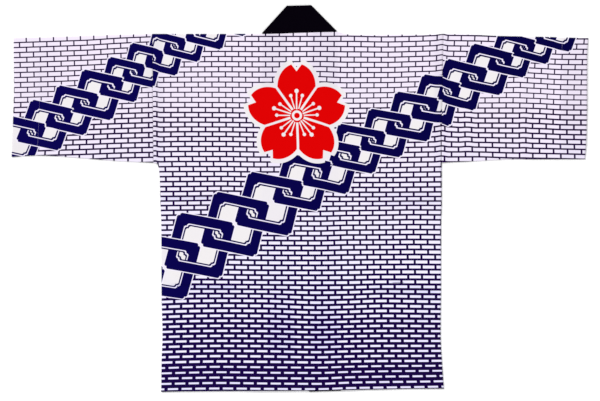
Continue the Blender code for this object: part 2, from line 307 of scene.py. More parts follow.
def cloth_piece(name, points, marks, finishes, closed=False, wall=CLOTH):
    """Sews a grid of points (rows, columns, 3), in mm, into one cloth. Marks are values that vary over it,
    kept as attributes of the mesh. The second finish is that of the wrong side. A closed grid's last row
    joins its first, as a tube."""
    rows, columns = points.shape[:2]
    number = np.arange(rows * columns).reshape(rows, columns)
    if closed:
        number = np.vstack([number, number[:1]])
    corners = (number[:-1, :-1], number[:-1, 1:], number[1:, 1:], number[1:, :-1])
    faces = np.stack([corner.ravel() for corner in corners], axis=1)
    piece = new_mesh(name, points, faces, finishes)
    for label, value in marks.items():
        value = np.asarray(value, np.float32).reshape(rows * columns, -1)
        kind, field = ("FLOAT", "value") if value.shape[1] == 1 else ("FLOAT_VECTOR", "vector")
        piece.data.attributes.new(label, kind, "POINT").data.foreach_set(field, value.ravel())
    thickness = piece.modifiers.new("cloth wall", "SOLIDIFY")
    thickness.thickness = wall * MM
    thickness.offset = 0.0
    thickness.use_even_offset = True
    thickness.material_offset = len(finishes) - 1
    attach(piece, "root")
    return piece


# Where the print lies. It was printed before sewing, so its rows follow the cloth: they bunch up at the
# packing creases, sag between the rucks and run uphill on a sleeve that lies a little turned.
# For each piece: x of the columns, then rows of (y, how far the print is moved across at each x) and rows of
# (y, how far it is moved up at each x).
BODY_LAY = (
    (-318, -250, -177, -87, 42, 107, 190, 250, 316),
    (
        (-428, 25.5, 25.0, 24.5, 24.0, 24.0, 23.5, 23.5, 23.0, 22.5),
        (-385, 24.0, 23.5, 23.5, 24.5, 25.5, 27.0, 28.5, 29.0, 29.5),
        (-338, 23.0, 22.0, 22.0, 24.0, 26.0, 28.0, 30.5, 31.0, 31.5),
        (-271, 22.5, 22.0, 22.0, 24.0, 27.0, 29.5, 32.5, 32.0, 32.0),
        (-200, 22.5, 22.5, 22.5, 25.0, 27.5, 30.0, 33.5, 33.0, 32.5),
        (-137, 22.5, 22.5, 24.5, 26.0, 28.5, 31.0, 35.0, 34.5, 34.0),
        (-70, 23.0, 23.0, 25.0, 27.5, 30.0, 33.5, 37.0, 37.0, 36.5),
        (-3, 24.5, 23.5, 25.0, 28.0, 32.0, 35.0, 37.0, 36.5, 34.5),
        (50, 26.5, 24.5, 24.5, 27.5, 31.0, 33.5, 36.5, 37.0, 36.0),
        (109, 30.0, 28.5, 28.0, 28.0, 29.0, 31.0, 33.5, 34.0, 35.0),
        (165, 30.5, 29.0, 28.5, 29.0, 31.0, 33.0, 34.5, 35.0, 36.5),
        (220, 30.5, 29.0, 29.0, 30.5, 32.5, 34.0, 34.5, 35.0, 36.0),
        (290, 30.5, 30.5, 30.0, 31.5, 32.0, 32.5, 33.0, 32.5, 32.0),
        (364, 30.5, 31.0, 31.0, 32.0, 30.5, 31.5, 32.5, 31.5, 29.5),
    ),
    (
        (-430, 1.0, -0.5, -1.0, -0.5, 0.0, -2.0, -3.0, -4.0, -5.0),
        (-408, -0.5, -2.0, -3.0, -2.0, -1.0, -3.5, -5.0, -5.5, -6.5),
        (-385, -1.5, -3.5, -4.5, -3.5, -3.0, -5.0, -6.5, -7.0, -7.5),
        (-338, -4.0, -6.0, -7.0, -6.5, -4.0, -6.0, -7.0, -7.0, -7.0),
        (-231, -3.5, -6.0, -7.0, -6.5, -2.5, -4.0, -6.5, -5.5, -4.5),
        (-182, -2.5, -4.0, -3.5, -2.5, -2.0, -2.5, -4.0, -4.0, -3.5),
        (-110, -2.0, -3.0, -3.0, -1.5, -1.0, -2.5, -3.0, -3.5, -3.0),
        (-30, -1.0, -2.0, -2.5, 0.0, 1.0, -0.5, -1.5, -2.5, -2.0),
        (19, 2.0, 1.5, 0.5, 2.0, 1.5, 3.5, 3.5, 3.0, 2.5),
        (75, 2.5, 2.0, 2.0, 3.0, 3.0, 4.5, 4.5, 3.5, 2.5),
        (127, 3.0, 2.0, 2.0, 3.5, 4.0, 5.0, 4.5, 4.0, 2.5),
        (194, 4.5, 4.5, 5.0, 6.0, 5.0, 6.5, 5.5, 4.0, 2.5),
        (288, 5.0, 4.0, 3.5, 4.0, 3.0, 5.0, 5.0, 3.5, 1.5),
        (364, 3.5, 3.0, 2.5, 3.0, 3.0, 2.5, 4.0, 3.0, 0.5),
    ),
)
COURSE = 11.22  # height of a row of bricks
BRICK = 30.51  # length of a brick
FIRST_BED = 455.2  # a line between two rows, above the shoulder
FIRST_JOINT = -670.5  # an upright line between two bricks, left of the left cuff
LINES = (  # (y, thickness of the lines), which grows towards the hem
    (-432, 6.7),
    (-402, 6.6),
    (-388, 6.9),
    (-377, 7.0),
    (-366, 5.9),
    (-350, 5.9),
    (-305, 5.8),
    (-278, 5.65),
    (-250, 4.9),
    (-215, 4.85),
    (-170, 4.15),
    (-142, 3.9),
    (-88, 3.7),
    (-61, 3.45),
    (-20, 3.5),
    (20, 3.45),
    (44, 3.25),
    (70, 2.95),
    (120, 2.95),
    (150, 3.05),
    (173, 2.95),
    (200, 2.5),
    (227, 1.75),
    (255, 1.9),
    (305, 2.05),
    (360, 2.1),
)
BODY_LIFTS = (  # (x0, x1, y0, y1, edge, how far up) of the places where a seam or a wrinkle lifts the rows
    (-340, -318, 80, 400, 6, 2.2),
    (309, 330, 80, 400, 18, 2.0),
)
LEFT_LIFTS = (
    (-564, -545, 138, 164, 14, 1.1),
    (-458, -438, 228, 264, 16, -0.8),
    (-519, -497, 202, 226, 20, -0.6),
)
RIGHT_LIFTS = (
    (300, 325, 80, 400, 14, 2.0),
    (364, 385, 105, 215, 16, 1.4),
    (492, 511, 95, 200, 16, 0.9),
    (446, 478, 235, 330, 22, -0.9),
    (571, 588, 326, 380, 14, -1.0),
)
LIFT_FADE = 20.0  # how far up and down a lift fades


def between(value, low, high, edge):
    """1 between two places, with soft edges."""
    return soft_step((value - low) / edge + 0.5) * soft_step((high - value) / edge + 0.5)


def print_marks(x, y, lay, lifts):
    """The spot of the print that lies at each spot of the coat, and the lines' thickness there."""
    columns, *tables = lay
    spot = []
    for here, table in zip((x, y), tables):
        rows = np.array(table)
        by_row = np.stack([through(x, columns, row[1:]).ravel() for row in rows])
        spot.append(here + through(y, rows[:, 0], by_row))
    for x0, x1, y0, y1, edge, lift in lifts:
        spot[1] = spot[1] - lift * between(x, x0, x1, edge) * between(y, y0, y1, LIFT_FADE)
    return np.stack([*spot, along(LINES)(y)], axis=-1)


# A chain of square links, each smaller than the one before, runs up over the coat. A spot is placed along
# it in shares of the first link's half side and half rise, so that link's corners are at (1, 1). A table of
# a chain has:
# - the first link's middle, half side and half rise
# - the step to the next link in those shares, and the next link's share of the size
# - the widths of the uprights and bars in those shares, and of the white line
# - for each link from two before the first, how far it is moved across and up from its even place, and what
#   share its side and its rise are of their even size.
# A link that is NOT_PRINTED is too small to see.
EVEN = (0.0, 0.0, 1.00, 1.00)
NOT_PRINTED = (0.0, 0.0, 0.01, 0.01)
FIRST_IN_TABLE = -2  # number of the link that a chain's table starts with
LOWER_CHAIN = (
    ((-199.6, -106.3), (65.64, -12.63), (17.20, 63.20)),
    (0.9672, 0.9619, 0.951),
    (0.308, 0.317, 3.1),
    (
        (3.3, 0.0, 1.00, 1.00),
        (2.0, 2.8, 0.97, 0.95),
        (-0.9, -0.9, 0.99, 0.99),
        (0.5, -0.2, 1.02, 1.04),
        (3.3, 1.5, 1.08, 1.08),
        (6.4, 6.6, 0.96, 1.03),
        (3.7, 2.9, 1.02, 1.05),
        (-3.0, 2.9, 1.06, 0.96),
        (-0.6, 0.1, 1.00, 1.00),
        (0.7, -0.2, 1.08, 1.07),
        (-2.6, 2.4, 1.01, 1.14),
        (-1.6, 1.4, 0.99, 0.99),
    ),
)
UPPER_CHAIN = (
    ((-276.3, 329.3), (42.38, -10.86), (11.57, 41.08)),
    (0.9559, 0.9363, 0.970),
    (0.306, 0.321, 2.9),
    (
        EVEN,
        (1.2, 2.6, 1.01, 0.97),
        (1.2, 0.3, 0.98, 0.99),
        (0.0, 0.5, 0.99, 0.99),
        (1.3, 2.0, 1.04, 1.06),
        (6.6, 0.7, 1.00, 0.99),
    ),
)


def link_marks(printed, chain):
    """The place of each spot along a chain: the pair of shares (a, b) for which the middle plus a half
    sides and b half rises is that spot."""
    middle, side, rise = (np.array(part) for part in chain[0])
    shares = np.linalg.solve(np.stack([side, rise], axis=1), (printed[..., :2] - middle).reshape(-1, 2).T)
    return np.concatenate([shares.T, np.zeros((shares.shape[1], 1))], axis=1)


class Amount:
    """A number that varies over a surface, in a shader's nodes. A sum with it adds a node."""

    def __init__(self, tree, socket):
        self.tree = tree
        self.socket = socket

    def then(self, operation, *others, clamp=False):
        node = self.tree.nodes.new("ShaderNodeMath")
        node.operation = operation
        node.use_clamp = clamp
        for place, value in zip(node.inputs, (self, *others)):
            if isinstance(value, Amount):
                self.tree.links.new(value.socket, place)
            else:
                place.default_value = value
        return Amount(self.tree, node.outputs[0])

    def __add__(self, other):
        return self.then("ADD", other)

    def __sub__(self, other):
        return self.then("SUBTRACT", other)

    def __mul__(self, other):
        return self.then("MULTIPLY", other)

    def __truediv__(self, other):
        return self.then("DIVIDE", other)

    def __abs__(self):
        return self.then("ABSOLUTE")

    def __neg__(self):
        return self * -1.0

    def power_of(self, base):
        """The base to the power of this number."""
        return (self * math.log(base)).then("EXPONENT")

    def left(self):
        """What is left of 1, or 0 if nothing is."""
        return self.then("MULTIPLY_ADD", -1.0, 1.0, clamp=True)

    def from_whole(self):
        """How far the number is from the nearest whole one."""
        return abs((self + 0.5).then("FRACT") - 0.5)

    def inside(self, edge):
        """1 where the number is below 0, fading to 0 across an edge."""
        return self.then("MULTIPLY_ADD", -1.0 / edge, 0.5, clamp=True)

    def outside(self, edge):
        """1 where the number is above 0, fading to 0 across an edge."""
        return self.then("MULTIPLY_ADD", 1.0 / edge, 0.5, clamp=True)


def larger(first, *others):
    """The largest of some amounts."""
    for other in others:
        first = first.then("MAXIMUM", other)
    return first


def smaller(first, *others):
    """The smallest of some amounts."""
    for other in others:
        first = first.then("MINIMUM", other)
    return first


def far(x, y):
    """Distance of (x, y) from (0, 0)."""
    return (x * x + y * y).then("SQRT")


def effect(name, takes, gives):
    """A shader node group. Returns it with its inputs as amounts, and a call that sets its outputs."""
    group = bpy.data.node_groups.new(name, "ShaderNodeTree")
    for label, value in takes.items():
        socket = group.interface.new_socket(label, in_out="INPUT", socket_type="NodeSocketFloat")
        socket.default_value = value
    for label in gives:
        group.interface.new_socket(label, in_out="OUTPUT", socket_type="NodeSocketFloat")
    start = group.nodes.new("NodeGroupInput")
    end = group.nodes.new("NodeGroupOutput")

    def give(**amounts):
        for label, amount in amounts.items():
            group.links.new(amount.socket, end.inputs[label.replace("_", " ")])

    return group, [Amount(group, start.outputs[label]) for label in takes], give


def put(tree, group, **amounts):
    """Places a group in a tree with these inputs. Returns its outputs as amounts, in order."""
    node = tree.nodes.new("ShaderNodeGroup")
    node.node_tree = group
    for label, amount in amounts.items():
        socket = node.inputs[label.replace("_", " ")]
        if isinstance(amount, Amount):
            tree.links.new(amount.socket, socket)
        else:
            socket.default_value = amount
    return [Amount(tree, socket) for socket in node.outputs]


# Bricks: courses half a brick apart, with lines of ink between them.
INK_EDGE = 0.5  # mm over which the ink's edge fades
INK_BLEED = 0.4  # mm that the ink creeps past the edge of the stencil
JOINT_THICKNESS = 1.06  # of an upright line, as a share of the line between two rows
bricks, (across, up, line), give = effect("bricks", {"across": 0.0, "up": 0.0, "line": 2.0}, ["ink"])
course = (up - FIRST_BED) / -COURSE
every_other = course.then("FLOOR").then("FLOORED_MODULO", 2.0) * 0.5
bed = course.from_whole() * COURSE
joint = ((across - FIRST_JOINT) / BRICK + every_other).from_whole() * BRICK
bed_ink = (bed - line * 0.5 - INK_BLEED).inside(INK_EDGE)
joint_ink = (joint - line * (0.5 * JOINT_THICKNESS) - INK_BLEED).inside(INK_EDGE)
give(ink=larger(bed_ink, joint_ink))

# One link of a chain: a square band with notched corners, a white line inside it, and a thin dark line
# inside that. Its notches are a smaller square cut out of each corner. Unit is what one share is in mm.
LINK_NOTCH = 0.088  # in shares
LINK_CHAMFER = 0.066
LINK_HALO = 2.8  # mm
LINK_THIN_LINE = 2.4


def notched(x, y, unit):
    """How far outside a square with notched corners a spot is, from its distances over two sides. The tips
    beside a notch are cut off as well."""
    notch = smaller(x, y) + unit * LINK_NOTCH
    cut_tip = (x + y) * 0.5 + unit * LINK_CHAMFER
    return larger(x, y, notch, cut_tip)


def strip(within, beyond):
    """Ink or cloth inside one edge and outside another."""
    return smaller(within.inside(INK_EDGE), beyond.outside(INK_EDGE))


link, (side, rise, unit, upright, bar, line), give = effect(
    "link",
    {"side": 0.0, "rise": 0.0, "unit": 60.0, "upright": 0.31, "bar": 0.32, "line": 3.4},
    ["ink", "white", "window"],
)
over_side = (abs(side) - 1.0) * unit
over_rise = (abs(rise) - 1.0) * unit
outer = notched(over_side, over_rise, unit) - INK_BLEED
inner = notched(over_side + upright * unit, over_rise + bar * unit, unit) + INK_BLEED
past_halo = outer - LINK_HALO + INK_BLEED * 2
past_line = inner + line - INK_BLEED * 2
past_thin = inner + line + LINK_THIN_LINE
give(
    ink=larger(strip(outer, inner), strip(past_line, past_thin)),
    white=larger(strip(past_halo, outer), strip(inner, past_line)),
    window=past_thin.inside(INK_EDGE),
)

MOVED_RANGE = 0.5  # what the table of links holds as 0 to 1: moves of half of this either way
SIZE_RANGE = 2.0
THICKER_FROM = 5.6  # the link from which the bars get thicker for their size
THICKER_BY = 0.06  # at each link on
LINK_PLACES = 16  # in the table's ramp, which holds a link's two moves and two sizes as one colour
LEAST_LEFT = 0.01  # of a chain's size, past which it has no more links


class Link:
    """One link of a chain, by its number: its middle, and its parts at each spot. Each step to the next link
    shrinks as the links do, so the steps up to a link add up to a geometric sum."""

    def __init__(self, tree, number, side, rise, chain):
        (_, half_side, half_rise), (step_side, step_rise, shrink), (upright, bar, line), links = chain
        size = number.power_of(shrink)
        travel = (size - 1.0) * (1 / (shrink - 1))
        table = tree.nodes.new("ShaderNodeValToRGB")
        ramp = table.color_ramp
        ramp.interpolation = "CONSTANT"
        axes = np.stack([half_side, half_rise], axis=1)
        ramp.elements.remove(ramp.elements[1])
        for place, (across, up, wide, high) in enumerate((*links, EVEN)):
            spot = ramp.elements[0] if place == 0 else ramp.elements.new(place / LINK_PLACES)
            moved = np.linalg.solve(axes, (across, up)) / MOVED_RANGE + 0.5
            spot.color = (*moved.tolist(), wide / SIZE_RANGE, high / SIZE_RANGE)
        place = (number + (0.5 - FIRST_IN_TABLE)) / LINK_PLACES
        tree.links.new(place.socket, table.inputs[0])
        parts = tree.nodes.new("ShaderNodeSeparateColor")
        tree.links.new(table.outputs["Color"], parts.inputs[0])
        moved_side, moved_rise, wide = (Amount(tree, socket) for socket in parts.outputs)
        high = Amount(tree, table.outputs["Alpha"])
        self.side = travel * step_side + (moved_side - 0.5) * MOVED_RANGE
        self.rise = travel * step_rise + (moved_rise - 0.5) * MOVED_RANGE
        thick = larger(number - THICKER_FROM, 0.0) * THICKER_BY + 1.0
        self.ink, self.white, self.window = put(
            tree,
            link,
            side=(side - self.side) / (size * wide * SIZE_RANGE),
            rise=(rise - self.rise) / (size * high * SIZE_RANGE),
            unit=size * float(np.linalg.norm(half_side)),
            upright=thick * upright,
            bar=thick * bar,
            line=line,
        )


def chain_of_links(name, chain):
    """A group that draws a chain: the link that a spot is nearest, and its two neighbours. Where two links
    cross, the lower left one lies on top above the diagonal of their crossing, and the upper right one
    below it."""
    group, (side, rise), give = effect(name, {"side": 0.0, "rise": 0.0}, ["ink", "white", "window"])
    step_side, step_rise, shrink = chain[1]
    steps = (side * step_side + rise * step_rise) / (step_side**2 + step_rise**2)
    left_over = larger(steps * (shrink - 1) + 1.0, LEAST_LEFT)
    nearest = left_over.then("LOGARITHM", shrink).then("ROUND")
    before, here, after = (Link(group, nearest + step, side, rise, chain) for step in (-1.0, 0.0, 1.0))

    def above(one, other):
        """1 on the upper left of the diagonal through the middle between two links."""
        along_side = side - (one.side + other.side) * 0.5
        return (rise - (one.rise + other.rise) * 0.5).then("GREATER_THAN", along_side)

    above_before, above_after = above(before, here), above(here, after)
    ink, white = before.ink * above_before.left(), before.white * above_before.left()
    on_top = ((after, above_after), (here, None), (before, above_before), (after, above_after.left()))
    for one, where in on_top:
        one_ink, one_white = (one.ink, one.white) if where is None else (one.ink * where, one.white * where)
        uncovered = (one_ink + one_white).left()
        ink, white = ink * uncovered + one_ink, white * uncovered + one_white
    give(ink=ink, white=white, window=larger(before.window, here.window, after.window))
    return group


# A red cherry blossom on the back: five petals with a notch at the tip, white between them and round them,
# and white stamens. It is worked out for one petal, since every spot is turned to the nearest one.
BLOSSOM_MIDDLE = (24.0, 191.0)
BLOSSOM_HALO = 9.0
BLOSSOM_CENTRE = 16.0
PETAL_TURN = 2 * math.pi / 5
PETAL_MIDDLE, PETAL_LENGTH, PETAL_WIDTH = 64.0, 50.0, 43.0  # the last two are halves of its oval
PETAL_GAP = 3.2
NOTCH_FROM, NOTCH_SLOPE = 97.0, 1.3
RING_RADIUS, RING_WIDTH = 9.0, 2.6
STAMENS = ((0.0, 32.0, 18.0, 1.6), (0.30, 28.0, 13.0, 1.4))  # (slope aside, middle, half length, half width)
ANTHERS = ((54.0, 0.0, 4.6), (44.0, 13.0, 3.8))  # (how far out, how far aside, radius)
blossom, (across, up), give = effect("blossom", {"across": 0.0, "up": 0.0}, ["red", "halo"])
x, y = across - BLOSSOM_MIDDLE[0], up - BLOSSOM_MIDDLE[1]
away = far(x, y)
turn = (x.then("ARCTAN2", y) / PETAL_TURN).from_whole() * PETAL_TURN
out, aside = away * turn.then("COSINE"), away * turn.then("SINE")
centre = away - BLOSSOM_CENTRE
petal = (far((out - PETAL_MIDDLE) / PETAL_LENGTH, aside / PETAL_WIDTH) - 1.0) * PETAL_WIDTH
notch = out - aside * NOTCH_SLOPE - NOTCH_FROM
gap = aside - out * math.tan(PETAL_TURN / 2) + PETAL_GAP
ring = abs(away - RING_RADIUS) - RING_WIDTH
stamens = [
    larger(abs(aside - out * slope) - half_width, abs(out - middle) - half_length)
    for slope, middle, half_length, half_width in STAMENS
]
anthers = [far(out - middle, aside - beside) - radius for middle, beside, radius in ANTHERS]
white_lines = smaller(ring, *stamens, *anthers)
red = larger(smaller(larger(petal, notch, gap), centre), -white_lines)
halo = smaller(larger(petal, notch), centre) - BLOSSOM_HALO
give(red=red.inside(INK_EDGE), halo=halo.inside(INK_EDGE))

# Plain weave: two sets of threads that pass over and under each other, some a little thicker than others.
THREAD = 0.9  # mm from thread to thread
CROWN_DROP = 3.2  # how steeply a thread falls away beside its crown
FINE, COARSE = 0.9, 0.02  # how many slubs there are in a mm, across a thread and along it
PATCHES = (0.012, 0.016)  # and patches, across and up
SPECKS = (0.45, 0.55)
SLUB_RELIEF, SLUB_SHADE, PATCH_SHADE = 1.5, 0.10, 0.07  # how much they raise or darken the cloth
weave, (across, up), give = effect("plain weave", {"across": 0.0, "up": 0.0}, ["height", "shade", "speckle"])
checker = ((across / THREAD).then("FLOOR") + (up / THREAD).then("FLOOR")).then("FLOORED_MODULO", 2.0)


def crown(place):
    """The height of threads that lie side by side: 1 at a thread's middle, less the square of the share of
    a thread from there times how steeply it falls."""
    off = (place / THREAD).then("FRACT") - 0.5
    return off * off * -CROWN_DROP + 1.0


def slubs(tree, across, up, scale):
    """Noise drawn out along the threads, about 0.5."""
    spot = tree.nodes.new("ShaderNodeCombineXYZ")
    for amount, place, stretch in ((across, 0, scale[0]), (up, 1, scale[1])):
        tree.links.new((amount * stretch).socket, spot.inputs[place])
    noise = tree.nodes.new("ShaderNodeTexNoise")
    noise.inputs["Scale"].default_value = 1.0
    noise.inputs["Detail"].default_value = 2.0
    tree.links.new(spot.outputs[0], noise.inputs["Vector"])
    return Amount(tree, noise.outputs["Fac"])


thick_and_thin = slubs(weave, across, up, (COARSE, FINE)) + slubs(weave, across, up, (FINE, COARSE)) - 1.0
patchy = slubs(weave, across, up, PATCHES) - 0.5
give(
    height=crown(across) * checker + crown(up) * checker.left() + thick_and_thin * SLUB_RELIEF,
    shade=thick_and_thin * SLUB_SHADE + patchy * PATCH_SHADE,
    speckle=slubs(weave, across, up, SPECKS) - 0.5,
)


def linear(*parts):
    """A colour as it looks under these lights, on a screen from 0 to 255, turned into shares of light."""
    shares = np.array(parts) / 255
    light = np.where(shares <= 0.04045, shares / 12.92, ((shares + 0.055) / 1.055) ** 2.4) / BRIGHTNESS
    return (*light.tolist(), 1.0)


UPPER_WHITE = linear(242, 232, 249)
LOWER_WHITE = linear(242, 238, 263)
WINDOW_WHITE = linear(238, 234, 236)
LINE_WHITE = linear(243, 236, 255)
NAVY_LEFT = linear(7, 1, 79)
NAVY_RIGHT = linear(3, 0, 62)
THIN_LINE_INK = linear(33, 4, 58)
RED = linear(219, 0, 1)
# Colours towards which layers that show through darken the cloth, also used for the painted shade of creases
# and armhole seams.
UPPER_SHOW_THROUGH_AND_SHADE = linear(206, 200, 217)
LOWER_SHOW_THROUGH_AND_SHADE = linear(208, 206, 248)


def blend_of(tree, share, low, high):
    """A colour mixed from two, by a share from 0 to 1."""
    mix = tree.nodes.new("ShaderNodeMix")
    mix.data_type = "RGBA"
    colours = [socket for socket in mix.inputs if socket.type == "RGBA"]
    tree.links.new(share.socket, mix.inputs[0])
    for place, colour in zip(colours, (low, high)):
        if isinstance(colour, tuple):
            place.default_value = colour
        else:
            tree.links.new(colour, place)
    return [socket for socket in mix.outputs if socket.type == "RGBA"][0]


def mark(tree, label):
    """The three parts of an attribute of the mesh."""
    read = tree.nodes.new("ShaderNodeAttribute")
    read.attribute_name = label
    split = tree.nodes.new("ShaderNodeSeparateXYZ")
    tree.links.new(read.outputs["Vector"], split.inputs[0])
    return [Amount(tree, socket) for socket in split.outputs]


THREAD_RELIEF = (0.35, 0.12)  # strength, and depth in mm


def roughened(tree, shader, colour, height, relief):
    """Gives a shader its colour, and the fine relief of a height."""
    bump = tree.nodes.new("ShaderNodeBump")
    bump.inputs["Strength"].default_value = relief[0]
    bump.inputs["Distance"].default_value = relief[1] * MM
    tree.links.new(height.socket, bump.inputs["Height"])
    tree.links.new(bump.outputs["Normal"], shader.inputs["Normal"])
    tree.links.new(colour, shader.inputs["Base Color"])


COTTON_ROUGHNESS = 0.86
INK_SMOOTHS = 0.08  # how much less rough the ink leaves it
SECOND_CHAIN_FROM = 3.0  # how far to the upper left of the first chain it takes over, in shares
SHOW_THROUGH_AND_SHADE_SHARE = 0.28  # of the show-through colour, where one layer lies behind and where shade is painted on creases and seams
LOWER_SPAN = 400.0  # mm over which the upper colour turns into the lower one
RIGHT_SPAN = 1200.0  # and the left navy into the right one
SPECKLE_SPREAD = 1440.0  # how far the speckle moves a spot along that
THIN_LINE_TINT = 0.5  # share of the chains' navy in the lowest brick lines


def printed_cotton(name, chains, with_blossom=False, strength=1.0):
    """White plain-weave cotton with the navy print. A chain is its group and the mark that places it; a
    second chain takes over to the upper left of the first one. Strength is less than 1 on the wrong side."""
    finish, tree, shader = new_finish(name, Specular_IOR_Level=0.02, Sheen_Weight=0.01, Sheen_Roughness=0.5)
    across, up, line = mark(tree, "print")
    places = [mark(tree, label)[:2] for _, label in chains]
    drawn = [put(tree, group, side=side, rise=rise) for (group, _), (side, rise) in zip(chains, places)]
    chain_ink, chain_white, window = drawn[0]
    if len(chains) > 1:
        side, rise = places[0]
        beyond = (rise - side).then("GREATER_THAN", SECOND_CHAIN_FROM)
        chain_ink, chain_white, window = (low * beyond.left() + high * beyond for low, high in zip(*drawn))
    (brick_ink,) = put(tree, bricks, across=across, up=up, line=line)
    height, shade, speckle = put(tree, weave, across=across, up=up)
    seen_through_and_shade = mark(tree, "seen_through_and_shade")[0]

    lower_down = up.inside(LOWER_SPAN)
    cotton = blend_of(tree, lower_down, UPPER_WHITE, LOWER_WHITE)
    cloth = blend_of(tree, window * chain_ink.left(), cotton, WINDOW_WHITE)
    cloth = blend_of(tree, chain_white, cloth, LINE_WHITE)
    ink = brick_ink * window.left() * (chain_ink + chain_white).left() + chain_ink
    if with_blossom:
        red, halo = put(tree, blossom, across=across, up=up)
        cloth = blend_of(tree, halo, cloth, WINDOW_WHITE)
        ink = ink * halo.left()
    show_through_and_shade_colour = blend_of(tree, lower_down, UPPER_SHOW_THROUGH_AND_SHADE, LOWER_SHOW_THROUGH_AND_SHADE)
    # Painted shade of creases and armhole seams, with the layers that show through, darkens the cloth; slubs
    # and patches vary it.
    shaded = blend_of(tree, larger(seen_through_and_shade * SHOW_THROUGH_AND_SHADE_SHARE - shade, 0.0), cloth, show_through_and_shade_colour)
    to_the_right = (across - speckle * SPECKLE_SPREAD).outside(RIGHT_SPAN)
    navy = blend_of(tree, to_the_right, NAVY_LEFT, NAVY_RIGHT)
    navy = blend_of(tree, larger(chain_ink, lower_down * THIN_LINE_TINT), THIN_LINE_INK, navy)
    colour = blend_of(tree, ink * strength, shaded, navy)
    if with_blossom:
        colour = blend_of(tree, red * strength, colour, RED)
    roughened(tree, shader, colour, height, THREAD_RELIEF)
    tree.links.new((ink * -INK_SMOOTHS + COTTON_ROUGHNESS).socket, shader.inputs["Roughness"])
    return finish


WRONG_SIDE = 0.3  # strength of the print on the cloth's wrong side
BACK_CHAINS = (
    (chain_of_links("lower chain", LOWER_CHAIN), "lower chain"),
    (chain_of_links("upper chain", UPPER_CHAIN), "upper chain"),
)
back_finish = printed_cotton("printed cotton back", BACK_CHAINS, with_blossom=True)
body_finish = printed_cotton("printed cotton body", BACK_CHAINS)
body_wrong_side = printed_cotton("printed cotton body wrong side", BACK_CHAINS, strength=WRONG_SIDE)

LEFT_SEWN, LEFT_FREE, RIGHT_FREE, RIGHT_SEWN = 1, 2, 3, 4  # columns of the next table
BAND_EDGES = (  # (y, and x of the four edges) of the collar's bands below
    (-435.0, -73.8, -8.9, 20.1, 91.6),
    (-290.0, -75.0, -11.5, 22.4, 89.4),
    (-195.0, -76.0, -14.4, 25.7, 89.4),
    (-100.0, -81.0, -20.8, 25.0, 88.5),
    (14.0, -88.4, -28.2, 23.5, 87.2),
    (162.0, -86.6, -29.6, 23.5, 85.5),
    (310.0, -84.9, -29.1, 24.1, 83.8),
)


def band_edge(column):
    """x of one edge of the bands, read by y."""
    return along([(row[0], row[column]) for row in BAND_EDGES])


BODY_LAYERS_AND_SEAM_SHADE = (  # (x0, x1, y0, y1, edge, strength) of the layers that show through the white cloth, and of painted shade along the armhole seams
    (-330, -305, 80, 368, 8, 0.9),
    # The next two rows are painted shade along the armhole seams.
    (-325, -315, 84, 350, 5, 1.3),
    (311, 323, 60, 175, 7, 1.3),
    (-312, -292, -432, 84, 12, 0.35),
    (-304, -268, -380, -205, 18, 0.45),
    (300, 321, 80, 368, 8, 0.8),
    (258, 304, -380, -205, 20, 0.45),
    (-320, 325, -440, -375, 5, 0.9),
)


def darker_boxes(x, y, layers):
    """How much turned-in edges under the cloth, and painted shade at the armholes, darken it, each in a soft
    box.
    """
    shown = [
        strength * between(x, x0, x1, edge) * between(y, y0, y1, edge)
        for x0, x1, y0, y1, edge, strength in layers
    ]
    return np.max(shown, axis=0)


def body_marks(x, y, seen_through_and_shade):
    """All marks of a cloth of the body."""
    printed = print_marks(x, y, BODY_LAY, BODY_LIFTS)
    return {
        "print": printed,
        "lower chain": link_marks(printed, LOWER_CHAIN),
        "upper chain": link_marks(printed, UPPER_CHAIN),
        "seen_through_and_shade": seen_through_and_shade,
    }


def back_height(x, y, left, right, bottom, top):
    """Height of the middle of the cloth: up to its resting height away from the seams, up also over the
    bands, with the folds and the slight unevenness on that, and never below what it rests on. The last is a
    rounded maximum: over the support it is half the sum of the cloth's own height over it and the length of
    that height and the rounding at a right angle."""
    clear = risen(x - left) * risen(right - x) * risen(y - bottom) * risen(top - y)
    far_left, near_left, near_right, far_right = OVER_BANDS
    over = soft_step((x - far_left) / (near_left - far_left))
    over = over * soft_step((far_right - x) / (far_right - near_right))
    rest = PRESSED + (RESTING - PRESSED) * np.maximum(clear, over)
    folded = rest + uneven(x, y) * clear
    support = LOWEST_ON_FRONT + (LOWEST_ON_BAND - LOWEST_ON_FRONT) * over
    return support + (folded - support + np.hypot(folded - support, SUPPORT_ROUNDING)) / 2


def shares(count, *extra):
    """Even shares from 0 to 1, with a few more where an edge turns."""
    return np.unique(np.concatenate([np.linspace(0, 1, count), extra]))


def edge_up(table, v):
    """Points up a side, at shares of its height."""
    y = table[0][0] + (table[-1][0] - table[0][0]) * v
    return np.stack([along(table)(y), y], axis=1)


def edge_across(table, u, low=None, high=None):
    """Points along a hem or shoulder, at shares of its width."""
    low = table[0][0] if low is None else low
    high = table[-1][0] if high is None else high
    x = low + (high - low) * u
    return np.stack([x, along(table)(x)], axis=1)


STITCH_STEP = 2.6
STITCH_SIZE = (1.25, 0.42, 0.14)  # half length, half width, how far it stands proud
STITCH_SINK = 0.1  # how far its corners dip into the cloth
UPWARD = np.array([0.0, 0.0, 1.0])


